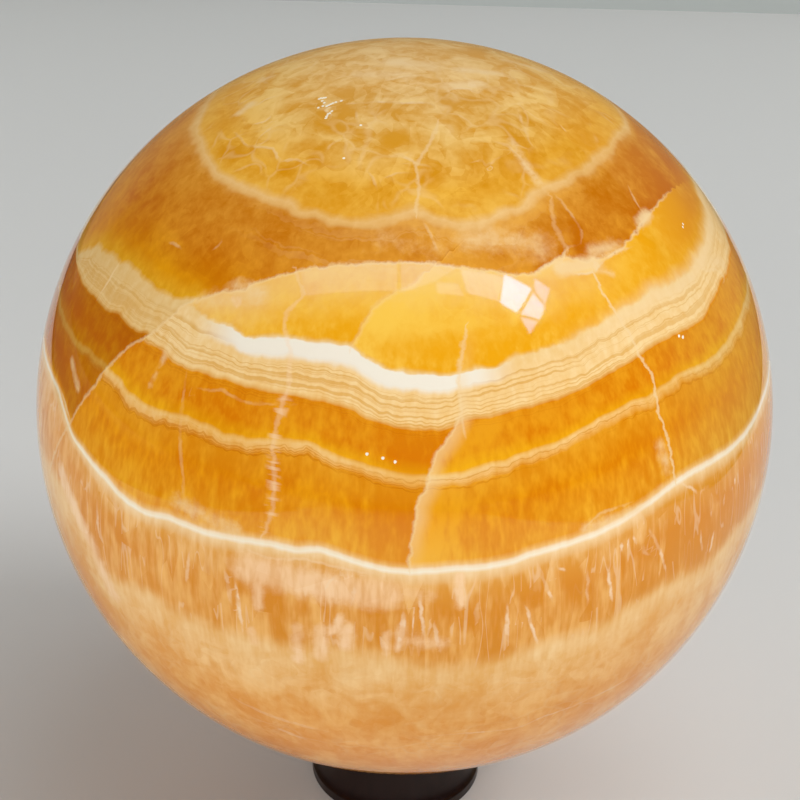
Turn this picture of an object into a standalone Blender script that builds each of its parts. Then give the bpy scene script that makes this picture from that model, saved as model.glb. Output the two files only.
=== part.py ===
"""A polished calcite sphere resting on a small turned stand.

Metres, +Z up. The origin is the middle of the stand's flat base, and the
sphere's centre lies straight above it. Run with
blender --background --python part.py, or from the text editor.
"""

from math import cos, radians, sin, sqrt

import bpy

# Driving dimensions
SPHERE_RADIUS = 0.050  # the stone, 100 mm across
STAND_RADIUS = 0.0131  # widest part of the stand, at its foot
SPHERE_CLEARANCE = 0.0125  # from the surface it stands on up to the stone
SEAT_RADIUS = 0.0098  # outer edge of the dish that holds the stone
SEAT_GAP = 0.0003  # between the dish and the stone

# The stand's profile
FOOT_HEIGHT = 0.0016  # upright band round the foot
RIM_LIP = 0.0012  # flat top of the rim, outside the dish
RIM_DROP = 0.0014  # upright band round the rim
EDGE_ROUND = 0.0005  # rounding of the foot's and the rim's edges

# How finely the round shapes are cut
SPHERE_SEGMENTS = 72
SPHERE_RINGS = 36
STAND_STEPS = 72
SEAT_POINTS = 6
SIDE_POINTS = 9
ROUND_SEGMENTS = 3
SMOOTH_ANGLE = radians(40)

# Worked out from the sizes above
CENTRE_HEIGHT = SPHERE_CLEARANCE + SPHERE_RADIUS
DISH_RADIUS = SPHERE_RADIUS + SEAT_GAP
RIM_RADIUS = SEAT_RADIUS + RIM_LIP

STONE_COLOUR = (0.86, 0.47, 0.11, 1.0)
STAND_COLOUR = (0.020, 0.008, 0.006, 1.0)


def clear_scene():
    """Removes whatever the file holds."""
    for item in list(bpy.data.objects):
        bpy.data.objects.remove(item, do_unlink=True)


def make_collection(name):
    """Returns a new collection linked to the scene."""
    collection = bpy.data.collections.new(name)
    bpy.context.scene.collection.children.link(collection)
    return collection


def make_material(name, colour, roughness):
    """Returns a plain non-metal material."""
    material = bpy.data.materials.new(name)
    material.use_nodes = True
    shader = material.node_tree.nodes["Principled BSDF"]
    shader.inputs["Base Color"].default_value = colour
    shader.inputs["Roughness"].default_value = roughness
    shader.inputs["Metallic"].default_value = 0.0
    return material


def place_in(item, collection):
    """Moves an object out of its collections into the given one."""
    for old in list(item.users_collection):
        old.objects.unlink(item)
    collection.objects.link(item)


def add_sphere(collection):
    """The stone: one polished ball."""
    bpy.ops.mesh.primitive_uv_sphere_add(
        segments=SPHERE_SEGMENTS,
        ring_count=SPHERE_RINGS,
        radius=SPHERE_RADIUS,
        location=(0.0, 0.0, CENTRE_HEIGHT),
    )
    stone = bpy.context.object
    stone.name = "calcite_sphere"
    stone.data.name = "calcite_sphere"
    stone.data.shade_smooth()
    stone.data.materials.append(make_material("calcite", STONE_COLOUR, 0.12))
    place_in(stone, collection)
    return stone


def dish_height(radius):
    """Height of the dish at a radius: a sphere a gap's width outside the stone."""
    return CENTRE_HEIGHT - sqrt(DISH_RADIUS**2 - radius**2)


def stand_profile():
    """The stand's half section, from the middle of the dish out and down to the middle of the base."""
    seat = [SEAT_RADIUS * step / SEAT_POINTS for step in range(SEAT_POINTS + 1)]
    points = [(radius, dish_height(radius)) for radius in seat]
    rim_top = dish_height(SEAT_RADIUS)
    points.append((RIM_RADIUS, rim_top))
    # a quarter of an ellipse hollows the side between the rim and the foot
    side_top = rim_top - RIM_DROP
    side_drop = side_top - FOOT_HEIGHT
    side_reach = STAND_RADIUS - RIM_RADIUS
    for step in range(SIDE_POINTS + 1):
        turn = radians(90) * step / SIDE_POINTS
        radius = RIM_RADIUS + side_reach * (1 - cos(turn))
        points.append((radius, side_top - side_drop * sin(turn)))
    points.append((STAND_RADIUS, 0.0))
    points.append((0.0, 0.0))
    return points


def add_stand(collection):
    """The stand: a turned foot with a shallow dish on top."""
    points = stand_profile()
    mesh = bpy.data.meshes.new("stand")
    edges = [(index, index + 1) for index in range(len(points) - 1)]
    mesh.from_pydata([(radius, 0.0, height) for radius, height in points], edges, [])
    stand = bpy.data.objects.new("stand", mesh)
    collection.objects.link(stand)
    turn = stand.modifiers.new("turn", "SCREW")
    turn.axis = "Z"
    turn.angle = radians(360)
    turn.steps = STAND_STEPS
    turn.render_steps = STAND_STEPS
    turn.use_merge_vertices = True
    turn.merge_threshold = 0.00001
    turn.use_smooth_shade = True
    soften = stand.modifiers.new("soften", "BEVEL")
    soften.width = EDGE_ROUND
    soften.segments = ROUND_SEGMENTS
    soften.limit_method = "ANGLE"
    soften.angle_limit = SMOOTH_ANGLE
    mesh.materials.append(make_material("stand_wood", STAND_COLOUR, 0.30))
    return stand


def main():
    clear_scene()
    collection = make_collection("calcite_sphere_on_stand")
    add_sphere(collection)
    add_stand(collection)


main()
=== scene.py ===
"""The looks of a polished sphere of banded honey calcite on its small dark turned stand.

The stone's bands, cracks and crystals follow lines traced on the photograph. A traced
point is a pixel of the 800 x 800 picture, and the camera's own geometry puts it on the ball.
Behind the ball the bands go on at the heights that they have at the sides.
"""

from math import cos, pi, radians, sin, sqrt

import bpy
import numpy as np
from mathutils import Matrix, Vector


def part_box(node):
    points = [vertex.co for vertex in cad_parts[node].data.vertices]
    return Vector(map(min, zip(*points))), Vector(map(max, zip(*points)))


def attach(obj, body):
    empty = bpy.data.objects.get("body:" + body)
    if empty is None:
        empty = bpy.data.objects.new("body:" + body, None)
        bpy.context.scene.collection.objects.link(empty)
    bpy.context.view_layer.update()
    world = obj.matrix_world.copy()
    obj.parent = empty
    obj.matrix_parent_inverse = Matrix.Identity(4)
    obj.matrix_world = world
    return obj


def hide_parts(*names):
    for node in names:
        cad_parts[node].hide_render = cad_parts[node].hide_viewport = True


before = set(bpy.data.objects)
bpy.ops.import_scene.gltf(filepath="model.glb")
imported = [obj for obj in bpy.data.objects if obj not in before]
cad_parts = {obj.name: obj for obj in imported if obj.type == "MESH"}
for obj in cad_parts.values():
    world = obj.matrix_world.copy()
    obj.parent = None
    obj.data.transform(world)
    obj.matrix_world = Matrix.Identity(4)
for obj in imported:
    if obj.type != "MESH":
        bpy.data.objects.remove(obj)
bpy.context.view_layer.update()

# The ball and the stand, from the frame
BALL_LOW, BALL_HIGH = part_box("calcite_sphere")
STAND_LOW, STAND_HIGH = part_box("stand")
RADIUS = (BALL_HIGH.z - BALL_LOW.z) / 2
CENTRE = (BALL_LOW + BALL_HIGH) / 2

# The photograph: where the ball stands in it, in pixels, and how it is looked at
PHOTO_SIDE = 800
OUTLINE_CENTRE = (404.6, 405.9)
OUTLINE_RADIUS = 368.4
CAMERA_REACH = 4.0  # distance from the ball's centre, in ball radii
CAMERA_ELEVATION = radians(25.0)
CAMERA_ROLL = radians(1.5)
SENSOR = 36.0
NEAR_CLIP = 0.01

# The stone's layers lean against the stand's axis, towards the camera and to the left
LAYER_LEAN = radians(7.2)
LAYER_SIDE_LEAN = radians(-1.1)

# Each layer line has a level. The colours below are given by level, from the top down.
CAP_RING = 5.0
WHITE_TOP = 4.0
CREAM_FOOT = 3.0
THIN_BAND = 2.0
WHITE_LINE = 1.0
COLUMN_FOOT = 0.0
LOWEST = -1.0
LOWEST_HEIGHT = -0.55
POLE_LEVEL = 6.0
LOWEST_SLOPE = 2.5  # levels per radius under the lowest line

# How a layer line runs round the ball, in degrees of bearing: 0 at the front, positive to the right
BEARING_STEPS = 1440
SMOOTHING = 0.8
UPPER_BLEND_LEFT = 25.0  # over how far the part above the fracture runs into the rest of its line
UPPER_BLEND_RIGHT = 12.0
BACK_START = 75.0  # where the back's own rise and fall starts, and over how far it grows
BACK_GROWTH = 45.0
BACK_WAVES = [(3, 0.020, 1.0), (7, 0.012, 2.3)]  # waves round the ball, their height in radii, their shift

FAR = 9.0  # farther off than anything on the ball, in radii

# Layer lines as traced on the photograph, left to right
TRACED = {
    "cap_ring": [
        (196, 128), (201, 145), (206, 161), (223, 180), (246, 189), (271, 197), (288, 203), (300, 212),
        (322, 218), (345, 224), (365, 224), (388, 220), (411, 210), (420, 209), (433, 218), (455, 225),
        (477, 225), (500, 217), (517, 210), (532, 197), (550, 186), (569, 178), (584, 168), (603, 153),
        (617, 138), (622, 127),
    ],
    "white_top": [
        (150, 290), (172, 299), (182, 306), (199, 313), (214, 322), (230, 328), (249, 337), (262, 339),
        (284, 338), (304, 341), (327, 344), (351, 344), (365, 357), (384, 368), (399, 372), (415, 375),
        (428, 373), (457, 373), (489, 368), (519, 357), (548, 348), (577, 340), (600, 324), (619, 315),
        (634, 305), (649, 292), (668, 288), (684, 278), (695, 267), (703, 250), (708, 229), (707, 212),
        (699, 196),
    ],
    "cream_foot": [
        (140, 335), (149, 342), (163, 349), (172, 361), (184, 368), (201, 372), (226, 378), (245, 387),
        (268, 391), (288, 395), (327, 402), (346, 409), (365, 416), (384, 423), (413, 429), (441, 430),
        (453, 428), (462, 421), (480, 418), (500, 413), (529, 406), (557, 398), (582, 388), (607, 374),
        (634, 359), (645, 351), (663, 340), (682, 332), (703, 319), (712, 300), (720, 282), (728, 267),
        (730, 248), (726, 232),
    ],
    "thin_band": [
        (107, 372), (119, 384), (130, 399), (142, 407), (163, 416), (184, 420), (201, 428), (220, 435),
        (245, 443), (273, 441), (298, 443), (317, 449), (330, 457), (350, 464), (369, 471), (392, 476),
        (418, 478), (434, 478), (451, 477), (470, 474), (491, 468), (514, 460), (529, 454), (557, 447),
        (580, 435), (603, 420), (630, 406), (653, 397), (672, 382), (691, 372), (710, 363), (726, 345),
        (739, 324), (745, 307),
    ],
    "white_line": [
        (59, 388), (66, 418), (73, 437), (86, 456), (107, 479), (126, 500), (142, 511), (170, 518),
        (200, 530), (224, 537), (248, 540), (269, 543), (292, 549), (318, 549), (337, 554), (351, 561),
        (369, 565), (388, 570), (412, 572), (448, 569), (472, 568), (489, 566), (512, 561), (534, 553),
        (551, 548), (575, 541), (600, 532), (625, 519), (648, 504), (672, 484), (689, 473), (708, 463),
        (728, 451), (741, 439), (754, 420), (763, 397),
    ],
    "column_foot": [
        (76, 503), (89, 546), (108, 582), (137, 590), (153, 597), (169, 613), (191, 622), (248, 643),
        (289, 650), (337, 652), (375, 659), (401, 668), (432, 672), (464, 672), (496, 664), (528, 653),
        (559, 643), (591, 636), (625, 612), (648, 600), (664, 588), (682, 581), (707, 569), (728, 542),
    ],
}

# The same lines on the upper side of the big fracture, where the layers are shifted
TRACED_UPPER = {
    "white_top": [
        (72, 262), (96, 248), (107, 257), (122, 265), (138, 277), (157, 294), (172, 300), (191, 302),
    ],
    "cream_foot": [(82, 282), (96, 298), (107, 311), (119, 313), (126, 324), (138, 332), (147, 332)],
    "thin_band": [(65, 324), (76, 342), (90, 355), (103, 367)],
}

# Cracks, each from its upper or right end. The big fracture goes on round the left side and down.
CRACKS = {
    "fracture": [
        (760, 130), (700, 176), (668, 192), (648, 215), (634, 235), (622, 249), (603, 258), (585, 262),
        (564, 255), (548, 265), (534, 275), (515, 274), (500, 273), (450, 265), (400, 262), (350, 264),
        (315, 268), (295, 272), (274, 277), (258, 282), (245, 290), (222, 292), (199, 300), (182, 307),
        (168, 320), (153, 332), (134, 343), (117, 357), (105, 370), (96, 384), (84, 399), (76, 410),
        (71, 422), (60, 440), (50, 470),
    ],
    "crack_a": [
        (297, 273), (304, 297), (286, 313), (284, 327), (291, 351), (290, 374), (286, 395), (279, 413),
        (275, 434), (273, 451), (274, 480), (273, 508), (264, 533),
    ],
    "crack_b": [
        (466, 330), (462, 351), (458, 372), (459, 390), (461, 409), (457, 422), (449, 438), (434, 457),
        (431, 470), (428, 485), (417, 506), (417, 518), (412, 533), (411, 550), (409, 567),
    ],
    "crack_c": [
        (594, 275), (603, 294), (619, 317), (630, 334), (638, 353), (651, 372), (655, 393), (659, 414),
        (667, 439), (672, 462), (675, 479),
    ],
    "facet": [(423, 275), (409, 287), (388, 296), (374, 307), (365, 323), (353, 345)],
    "branch": [(551, 200), (553, 220), (556, 228), (561, 238), (565, 246)],
    "cap_crack": [(438, 124), (430, 145), (416, 163), (418, 191), (416, 211)],
}
CRACK_END = 0.015  # how far past its last point a crack may show, in radii

# Thin pale marks: half the width in pixels, how strongly it shows, and its line. The stone is paler
# above a line that runs right, and deeper under it.
MARK_SHARE = 0.75  # of the half width that is given below, the rest being its soft edge
MARK_REACH = 0.08  # how far from a mark, in radii, its distance is kept
MARKS = [
    # edges of broken crystals in the cap
    (1.2, 0.5, [(233, 131), (248, 146), (273, 148), (280, 162), (296, 159), (311, 166)]),
    (1.2, 0.35, [(325, 153), (333, 143), (343, 138)]),
    (1.0, 0.5, [(251, 109), (267, 99), (282, 95)]),
    (1.0, 0.5, [(258, 139), (267, 131), (277, 125), (289, 126)]),
    (1.0, 0.6, [(250, 125), (260, 123), (269, 119), (271, 115)]),
    (1.5, 0.7, [(342, 104), (360, 103), (378, 102), (407, 103), (422, 102), (433, 104), (438, 112)]),
    (1.0, 0.5, [(356, 109), (357, 121), (361, 124)]),
    (1.3, 0.7, [(384, 81), (393, 79), (407, 76), (422, 76), (433, 79)]),
    (1.2, 0.6, [(351, 63), (364, 65), (371, 64)]),
    (1.5, 0.8, [(444, 93), (456, 88), (469, 89), (478, 93), (483, 88)]),
    (1.3, 0.45, [(493, 141), (507, 145), (518, 156), (529, 169), (538, 178)]),
    (0.9, 0.5, [(471, 163), (482, 161), (487, 166), (493, 161), (504, 156)]),
    (0.9, 0.5, [(518, 109), (522, 123), (527, 136)]),
    (1.0, 0.5, [(560, 125), (567, 132)]),
    (1.0, 0.5, [(389, 156), (400, 154), (413, 161), (417, 166)]),
    (0.9, 0.4, [(368, 171), (374, 178), (376, 189)]),
    (0.9, 0.4, [(384, 178), (396, 173), (411, 172)]),
    # painted glints: two bright strokes where small pits in the cap shine
    (1.4, 1.0, [(318, 97), (327, 104), (333, 104), (345, 100)]),
    (1.4, 1.0, [(317, 109), (325, 109), (331, 114), (329, 120)]),
    # streaks between the ring and the fracture
    (1.2, 0.35, [(168, 242), (177, 245), (182, 249)]),
    (1.0, 0.3, [(222, 240), (218, 246), (213, 250)]),
    (1.0, 0.4, [(422, 219), (432, 238), (439, 252)]),
    (0.8, 0.35, [(554, 194), (561, 201), (569, 211), (576, 221), (582, 231), (580, 245)]),
    (0.8, 0.4, [(628, 185), (631, 193), (638, 205), (646, 216)]),
    # broken pieces at the fracture's right end
    (1.2, 0.8, [(576, 246), (569, 246), (564, 252), (561, 261), (551, 263), (539, 270), (534, 275)]),
    (1.0, 0.9, [
        (569, 270), (574, 274), (585, 274), (595, 271), (600, 264), (610, 256), (619, 250), (634, 246),
    ]),
    (1.0, 0.8, [(630, 238), (633, 234), (638, 230), (640, 224), (645, 220), (648, 215)]),
    (1.0, 0.6, [(689, 268), (695, 266), (708, 271), (715, 269), (725, 277), (723, 283)]),
    # to the left of the fracture, and under it
    (1.0, 0.8, [(121, 260), (109, 280), (97, 300)]),
    (1.2, 0.8, [(60, 387), (66, 405), (71, 424)]),
    (1.2, 0.6, [(58, 388), (56, 405), (54, 418)]),
    (1.4, 0.25, [(187, 371), (184, 390), (181, 415), (180, 440), (183, 480), (185, 520)]),
    (0.9, 0.25, [(197, 388), (211, 391), (223, 389), (231, 396), (248, 403), (269, 404), (297, 405)]),
    (0.8, 0.5, [(461, 409), (463, 424), (466, 440)]),
    # beside the white line
    (0.8, 0.4, [(242, 546), (266, 558), (304, 559), (332, 566), (360, 572), (380, 575)]),
    (0.8, 0.4, [(583, 528), (590, 523), (600, 513), (617, 508), (633, 502)]),
    (1.0, 0.7, [(680, 483), (692, 488), (697, 493)]),
    # blades of crystal among the columns
    (2.5, 0.5, [(224, 570), (229, 585), (231, 604)]),
    (1.3, 0.9, [(235, 582), (238, 600), (243, 634)]),
    (0.9, 0.6, [(336, 574), (324, 590)]),
    (1.5, 0.5, [(356, 584), (350, 605)]),
    (2.4, 0.9, [(404, 612), (402, 630), (398, 650)]),
    (1.3, 0.8, [(420, 592), (421, 612), (425, 640)]),
    (1.7, 0.6, [(434, 622), (440, 653)]),
    (2.2, 0.6, [(479, 602), (475, 625)]),
    (1.7, 0.8, [(507, 602), (507, 642)]),
    (1.3, 0.9, [(526, 606), (531, 625), (538, 645)]),
    (1.4, 0.8, [(540, 568), (547, 590), (553, 602)]),
    (1.2, 0.7, [(558, 568), (566, 571)]),
    (1.4, 0.9, [(607, 563), (610, 587), (612, 602)]),
    (1.4, 0.9, [(621, 542), (621, 552)]),
    (1.3, 0.9, [(634, 535), (636, 544)]),
    (1.5, 0.6, [(644, 545), (645, 553), (650, 555)]),
    (1.4, 0.8, [(649, 528), (655, 540), (661, 552), (666, 572)]),
    (1.2, 0.5, [(700, 530), (702, 552)]),
    (1.3, 0.9, [(714, 531), (709, 553)]),
    (1.2, 0.8, [(725, 495), (723, 507)]),
    (1.3, 0.9, [(735, 475), (735, 484)]),
    (1.6, 0.5, [(97, 498), (99, 536)]),
    (1.6, 0.5, [(190, 552), (186, 584)]),
    (1.2, 0.4, [(588, 570), (587, 606)]),
    # long curved lines low on the ball
    (0.9, 0.55, [(416, 736), (468, 733), (520, 727), (542, 717), (587, 700), (617, 685), (645, 668)]),
    (3.0, 0.25, [(230, 696), (262, 712), (300, 725), (330, 732)]),
    (3.0, 0.3, [(268, 724), (292, 734), (308, 740)]),
]

# Painted glints of small pits, laid into the stone's colour: centres of dots, and in pixels how far out a
# dot is full and where it ends
PAINTED_GLINT_FULL = 0.875
PAINTED_GLINT_END = 1.5
PAINTED_GLINTS = [
    (319, 99), (321, 98), (323, 98), (325, 98), (322, 101), (324, 103), (323, 106), (318, 108),
    (327, 106), (329, 105), (331, 104), (333, 103), (336, 102), (341, 101),
    (326, 118), (327, 116), (328, 114), (330, 113), (332, 111), (361, 125), (344, 158),
    (367, 454), (383, 458), (395, 462), (683, 224), (683, 227), (679, 336), (683, 337),
]

# Deeper and paler patches: both ends, half the width, strength. Beyond their width they fade out.
PATCH_SPREAD = 2.2
DEEP_PATCHES = [
    (113, 520, 122, 540, 6.0, 0.9), (135, 552, 152, 585, 9.0, 0.6), (222, 552, 243, 585, 11.0, 0.6),
    (273, 586, 284, 636, 9.0, 0.6), (376, 610, 378, 640, 12.0, 0.7), (447, 600, 470, 622, 9.0, 0.8),
    (492, 592, 496, 655, 9.0, 0.8), (515, 584, 535, 600, 7.0, 0.8), (572, 574, 586, 600, 10.0, 0.8),
    (640, 550, 645, 590, 8.0, 0.7), (684, 500, 700, 545, 15.0, 1.0), (712, 476, 718, 492, 8.0, 0.9),
    (304, 146, 322, 151, 10.0, 0.75), (392, 141, 424, 137, 10.0, 0.7), (312, 128, 345, 128, 9.0, 0.65),
    (330, 112, 415, 114, 11.0, 0.65), (345, 140, 372, 142, 8.0, 0.4), (300, 602, 300, 612, 6.0, 0.6),
    (222, 150, 232, 160, 10.0, 0.7), (240, 168, 262, 176, 9.0, 0.6), (286, 172, 300, 182, 8.0, 0.6),
    (575, 225, 582, 248, 6.0, 0.8), (660, 178, 690, 235, 12.0, 0.4), (640, 238, 652, 245, 4.0, 0.8),
    (60, 340, 63, 378, 7.0, 1.0), (76, 300, 84, 322, 6.0, 0.7),
]
PALE_PATCHES = [
    (178, 502, 236, 531, 7.0, 0.55), (588, 528, 640, 508, 6.0, 0.5), (646, 500, 664, 486, 5.0, 0.4),
    (62, 474, 92, 545, 8.0, 0.9), (92, 545, 112, 592, 9.0, 0.8), (246, 568, 385, 595, 11.0, 1.0),
    (300, 580, 350, 586, 8.0, 0.9), (385, 590, 430, 596, 7.0, 0.5), (395, 62, 430, 66, 9.0, 0.8),
    (360, 74, 410, 76, 8.0, 0.6), (448, 86, 480, 84, 6.0, 0.8), (458, 70, 500, 74, 5.0, 0.7),
    (560, 268, 596, 263, 6.0, 0.9), (592, 250, 618, 246, 6.0, 0.6), (640, 222, 648, 214, 5.0, 0.8),
    (602, 270, 612, 274, 3.0, 0.6), (72, 360, 78, 388, 4.0, 0.6), (380, 240, 440, 248, 12.0, 0.32),
    (470, 238, 540, 246, 12.0, 0.52), (257, 582, 258, 606, 4.5, 0.8), (251, 630, 254, 642, 4.0, 0.7),
    (297, 628, 299, 660, 5.0, 0.7), (321, 630, 321, 656, 5.5, 0.8), (347, 628, 345, 646, 5.5, 0.8),
    (340, 618, 334, 632, 3.0, 0.9), (414, 640, 442, 645, 7.0, 0.6), (460, 576, 460, 606, 3.5, 0.9),
    (402, 626, 399, 648, 3.5, 0.8), (387, 634, 386, 652, 3.5, 0.7), (510, 140, 524, 162, 4.0, 0.6),
    (522, 160, 538, 182, 4.0, 0.7), (240, 112, 252, 104, 6.0, 0.6), (262, 80, 268, 78, 6.0, 0.6),
    (505, 60, 545, 72, 5.0, 0.6), (168, 350, 162, 362, 3.5, 0.55), (156, 374, 150, 386, 3.0, 0.45),
    (700, 262, 722, 262, 8.0, 0.6), (236, 288, 262, 294, 7.0, 0.6), (660, 445, 668, 470, 6.0, 0.5),
    (205, 300, 262, 300, 8.0, 0.5),
]


def unit(vectors):
    """Rows scaled to length one."""
    vectors = np.asarray(vectors, float)
    return vectors / np.linalg.norm(vectors, axis=-1, keepdims=True)


def camera_axes():
    """The camera's place in ball radii from the ball's centre, and its right, up and forward directions."""
    eye = CAMERA_REACH * np.array([0.0, -cos(CAMERA_ELEVATION), sin(CAMERA_ELEVATION)])
    forward = -eye / CAMERA_REACH
    level_right = np.array([1.0, 0.0, 0.0])
    level_up = np.cross(level_right, forward)
    up = cos(CAMERA_ROLL) * level_up - sin(CAMERA_ROLL) * level_right
    right = cos(CAMERA_ROLL) * level_right + sin(CAMERA_ROLL) * level_up
    return eye, right, up, forward


FOCAL_PIXELS = OUTLINE_RADIUS * sqrt(CAMERA_REACH**2 - 1)
EYE, RIGHT, UP, FORWARD = camera_axes()


def rays_through(pixels):
    """Unit vectors from the camera through these pixels."""
    pixels = np.asarray(pixels, float)
    across = (pixels[:, :1] - OUTLINE_CENTRE[0]) / FOCAL_PIXELS
    down = (pixels[:, 1:] - OUTLINE_CENTRE[1]) / FOCAL_PIXELS
    return unit(across * RIGHT - down * UP + FORWARD)


def on_ball(pixels):
    """Unit vectors from the ball's centre to the points that these pixels show."""
    rays = rays_through(pixels)
    along = rays @ EYE
    inside = np.maximum(along**2 - (CAMERA_REACH**2 - 1), 0.0)
    return unit(EYE + rays * (-along - np.sqrt(inside))[:, None])


def layer_axes():
    """The stone's own axes: across to the right, away from the camera, and up through the layers."""
    top = unit(
        [
            sin(LAYER_SIDE_LEAN),
            -sin(LAYER_LEAN) * cos(LAYER_SIDE_LEAN),
            cos(LAYER_LEAN) * cos(LAYER_SIDE_LEAN),
        ]
    )
    away = unit(np.cross(top, [1.0, 0.0, 0.0]))
    across = np.cross(away, top)
    return across, away, top


ACROSS, AWAY, TOP = layer_axes()
TURN = np.linspace(-180.0, 180.0, BEARING_STEPS + 1)  # the bearings at which a layer's height is kept


def bearing_and_height(directions):
    """Bearing round the layers' axis, 0 at the front and positive to the right, and height along it."""
    bearing = np.degrees(np.arctan2(directions @ ACROSS, -(directions @ AWAY)))
    return bearing, directions @ TOP


def smooth(values, width):
    """A closed curve of values, smoothed over about width degrees."""
    reach = int(4 * width / (TURN[1] - TURN[0])) + 1
    steps = np.arange(-reach, reach + 1) * (TURN[1] - TURN[0])
    weights = np.exp(-0.5 * (steps / width) ** 2)
    weights /= weights.sum()
    ring = values[:-1]
    padded = np.concatenate([ring[-reach:], ring, ring[:reach]])
    blurred = np.convolve(padded, weights, "valid")
    return np.append(blurred, blurred[0])


def back_swell(bearing, seed):
    """A gentle rise and fall that only the back of the ball has."""
    behind = np.clip((np.abs(bearing) - BACK_START) / BACK_GROWTH, 0.0, 1.0)
    return behind * sum(
        height * np.sin(np.radians(count * bearing) + shift * seed) for count, height, shift in BACK_WAVES
    )


def traced_points(pixels):
    """Bearings of a traced line's points, from left to right, and their heights."""
    bearing, height = bearing_and_height(on_ball(pixels))
    order = np.argsort(bearing)
    return bearing[order], height[order]


def traced_height(pixels, seed):
    """Height of a traced line at every bearing in TURN."""
    bearing, height = traced_points(pixels)
    curve = np.interp(TURN, bearing, height, period=360.0)
    return smooth(curve + back_swell(TURN, seed), SMOOTHING)


def with_upper_part(curve, pixels):
    """A line's height with its left stretch replaced by the one traced above the fracture."""
    bearing, height = traced_points(pixels)
    inside = (TURN > bearing[0]) & (TURN < bearing[-1])
    ends = [bearing[0] - UPPER_BLEND_LEFT, bearing[0], bearing[-1], bearing[-1] + UPPER_BLEND_RIGHT]
    shift = np.interp(TURN, ends, [0.0, 1.0, 1.0, 0.0])
    upper = np.interp(TURN, bearing, height)
    return smooth(np.where(inside, upper, curve + shift * (upper - curve)), SMOOTHING)


def level_of(bearing, height, curves):
    """Level of each point, worked out between the layer lines above and below it."""
    levels = [POLE_LEVEL, CAP_RING, WHITE_TOP, CREAM_FOOT, THIN_BAND, WHITE_LINE, COLUMN_FOOT, LOWEST]
    lines = [np.ones_like(TURN)] + list(curves.values()) + [np.full_like(TURN, LOWEST_HEIGHT)]
    heights = np.array([np.interp(bearing, TURN, line) for line in lines])
    level = np.full(len(height), LOWEST) + (height - heights[-1]) * LOWEST_SLOPE
    for step in range(len(levels) - 1):
        share = (height - heights[step + 1]) / (heights[step] - heights[step + 1])
        between = (share >= 0) & (share <= 1)
        level[between] = (levels[step + 1] + share * (levels[step] - levels[step + 1]))[between]
    return level


def gap_to(directions, start, end):
    """From the nearest point of a straight stretch to each direction, and how far along it that point is."""
    edge = end - start
    share = np.clip(((directions - start) @ edge) / (edge @ edge), 0.0, 1.0)
    return directions - (start + share[:, None] * edge), share


def line_distance(directions, knots):
    """Signed and plain distance in radii to a line on the ball, and how far along the line that is, 0 to 1.

    Above a line that runs right, and on the right of one that runs down, the signed distance is positive.
    """
    best = np.full(len(directions), FAR)
    signed = np.zeros(len(directions))
    along = np.zeros(len(directions))
    for index, (start, end) in enumerate(zip(knots[:-1], knots[1:])):
        gap, share = gap_to(directions, start, end)
        length = np.linalg.norm(gap, axis=1)
        side = np.sign(np.einsum("ij,ij->i", np.cross(directions, end - start), gap))
        nearer = length < best
        best[nearer] = length[nearer]
        signed[nearer] = (side * length)[nearer]
        along[nearer] = ((index + share) / (len(knots) - 1))[nearer]
    return signed, best, along


def add_marks(mesh, directions):
    """Keeps numbers for the nearest mark at each vertex, in radii.

    They are its signed distance, its half width, how far outside that width the vertex lies, and its
    strength. A mark narrows and fades towards its ends.
    """
    nearest = np.full(len(directions), FAR)
    kept = {name: np.zeros(len(directions)) for name in ("mark", "mark_width", "mark_strength")}
    outside = nearest.copy()
    for half_width, strength, pixels in MARKS:
        knots = on_ball(pixels)
        middle = unit(knots.mean(axis=0))
        reach = np.linalg.norm(knots - middle, axis=1).max() + MARK_REACH
        near = np.nonzero(np.linalg.norm(directions - middle, axis=1) < reach)[0]
        signed, plain, along = line_distance(directions[near], knots)
        closer = plain < nearest[near]
        chosen = near[closer]
        taper = np.sqrt(np.sin(pi * along[closer]))
        nearest[chosen] = plain[closer]
        kept["mark"][chosen] = signed[closer]
        kept["mark_width"][chosen] = MARK_SHARE * half_width / OUTLINE_RADIUS * taper
        kept["mark_strength"][chosen] = strength * taper
        outside[chosen] = plain[closer] - half_width / OUTLINE_RADIUS
    add_number(mesh, "outside_mark", outside)
    for name, values in kept.items():
        add_number(mesh, name, values)


def patch_depth(directions, patches):
    """How far inside a patch each point is: the patch's strength in its middle, and nought outside."""
    depth = np.zeros(len(directions))
    for x0, y0, x1, y1, half_width, strength in patches:
        gap, _ = gap_to(directions, *on_ball([(x0, y0), (x1, y1)]))
        away = np.linalg.norm(gap, axis=1)
        depth = np.maximum(depth, strength * (1 - away * OUTLINE_RADIUS / (PATCH_SPREAD * half_width)))
    return depth


# Squares along each side of the cube that the ball's mesh is blown up from
BALL_CUTS = 128


def cube_ball():
    """Vertices and faces of a ball made from a cube's six gridded sides."""
    angles = np.linspace(-pi / 4, pi / 4, BALL_CUTS + 1)
    flat = np.tan(angles)
    index = {}
    points = []
    faces = []
    sides = [
        ((1, 0, 0), (0, 1, 0), (0, 0, 1)), ((-1, 0, 0), (0, 0, 1), (0, 1, 0)),
        ((0, 1, 0), (0, 0, 1), (1, 0, 0)), ((0, -1, 0), (1, 0, 0), (0, 0, 1)),
        ((0, 0, 1), (1, 0, 0), (0, 1, 0)), ((0, 0, -1), (0, 1, 0), (1, 0, 0)),
    ]
    for out, first, second in np.array(sides, float):
        grid = np.empty((BALL_CUTS + 1, BALL_CUTS + 1), int)
        for row, a in enumerate(flat):
            for column, b in enumerate(flat):
                point = out + a * first + b * second
                point /= np.linalg.norm(point)
                key = tuple(np.round(point, 6) + 0.0)
                if key not in index:
                    index[key] = len(points)
                    points.append(point)
                grid[row, column] = index[key]
        quads = np.stack([grid[:-1, :-1], grid[1:, :-1], grid[1:, 1:], grid[:-1, 1:]], axis=-1)
        faces.extend(quads.reshape(-1, 4).tolist())
    return np.array(points), faces


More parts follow.
